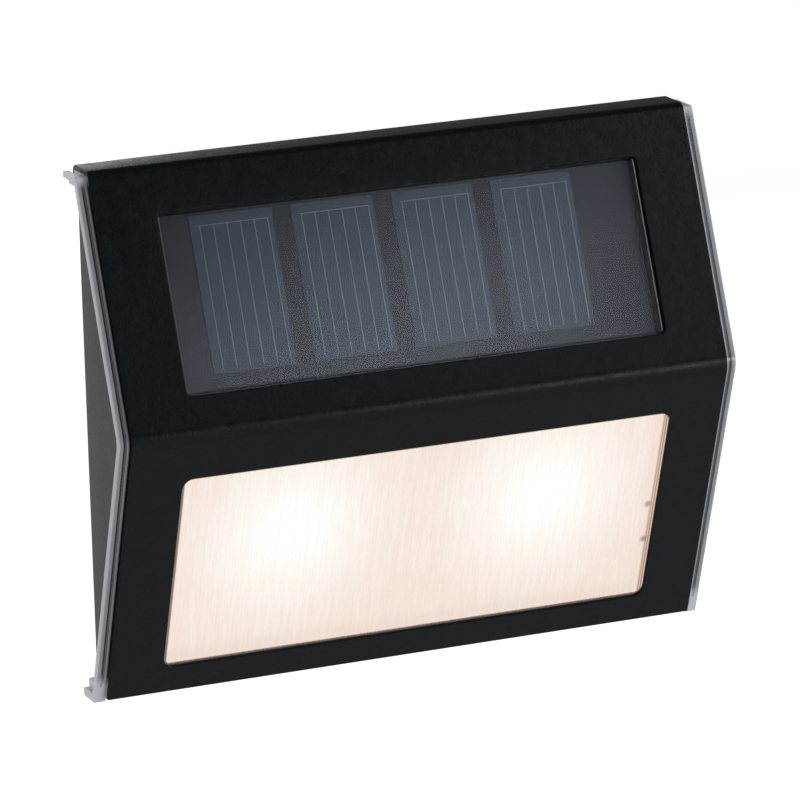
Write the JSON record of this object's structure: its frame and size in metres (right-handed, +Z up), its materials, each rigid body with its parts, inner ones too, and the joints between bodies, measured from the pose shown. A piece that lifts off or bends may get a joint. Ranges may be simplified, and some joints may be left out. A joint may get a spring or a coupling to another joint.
{
  "type": "solar fence light",
  "caption": "Wall-mounted solar fence light: black folded steel cover over a clear shell, solar panel window above, fluted warm-white lamp window below.",
  "frame": {"origin": "midway between the two keyhole entries, on the plane of the wall", "axes": "+Y into the wall, +Z up, +X to the right of someone facing the light"},
  "size_m": [0.118, 0.0256, 0.0959],
  "materials": {
    "powder_coated_steel": "fine-textured black powder coat",
    "bonding_tape": "pale foam bonding tape",
    "clear_polycarbonate": "clear moulded polycarbonate",
    "panel_board": "dark solar board under clear resin",
    "silicon_cell": "blue-grey silicon cell with thin silver fingers",
    "black_sealant": "black sealant",
    "fluted_diffuser": "fluted translucent sheet, lit warm white",
    "white_abs": "white moulded ABS",
    "white_board": "white-masked circuit board",
    "led_package": "yellow phosphor in a white package",
    "black_abs": "dark moulded ABS, finely textured",
    "silicone_seal": "grey silicone",
    "plated_steel": "zinc-plated steel",
    "nickel_plate": "nickel-plated spring steel",
    "battery_sleeve": "plain green printed sleeve on a metal can",
    "green_board": "green-masked circuit board",
    "chip_epoxy": "moulded black epoxy",
    "ferrite": "dark grey ferrite",
    "aluminium_can": "drawn aluminium",
    "switch_shell": "stamped tin-plated steel",
    "knob_plastic": "black moulded nylon",
    "red_wire": "red PVC insulation",
    "black_wire": "black PVC insulation"
  },
  "bodies": {
    "housing": {"front_cover": "powder_coated_steel", "cover_tape": "bonding_tape", "clear_shell": "clear_polycarbonate", "solar_board": "panel_board", "solar_cell_1": "silicon_cell", "solar_cell_2": "silicon_cell", "solar_cell_3": "silicon_cell", "solar_cell_4": "silicon_cell", "panel_seal": "black_sealant", "lamp_diffuser": "fluted_diffuser", "reflector": "white_abs", "led_board": "white_board", "led_left": "led_package", "led_right": "led_package", "rear_housing": "black_abs", "housing_gasket": "silicone_seal", "housing_screws": "plated_steel", "battery_plate_positive": "nickel_plate", "battery_plate_negative": "nickel_plate", "battery_spring": "nickel_plate", "control_board": "green_board", "board_screws": "plated_steel", "control_chip": "chip_epoxy", "storage_coil": "ferrite", "smoothing_capacitor": "aluminium_can", "switch_body": "switch_shell", "panel_wire_red": "red_wire", "panel_wire_black": "black_wire", "led_wire_red": "red_wire", "led_wire_black": "black_wire", "battery_wire_red": "red_wire", "battery_wire_black": "black_wire"},
    "switch_knob": {"switch_knob": "knob_plastic"},
    "battery_door": {"battery_door": "black_abs", "door_gasket": "silicone_seal", "door_screws": "plated_steel"},
    "battery": {"battery_cell": "battery_sleeve"}
  },
  "joints": [
    {"name": "switch_slide", "type": "slide", "parent": "housing", "child": "switch_knob", "axis": [1, 0, 0], "range_m": [-0.003, 0]},
    {"name": "door_lift", "type": "slide", "parent": "housing", "child": "battery_door", "axis": [0, 1, 0], "range_m": [0, 0.028]},
    {"name": "battery_lift", "type": "slide", "parent": "housing", "child": "battery", "axis": [0, 1, 0], "range_m": [0, 0.014]}
  ],
  "couplings": [
    {"joint": "battery_lift", "follows": "door_lift", "ratio": 0.5}
  ]
}
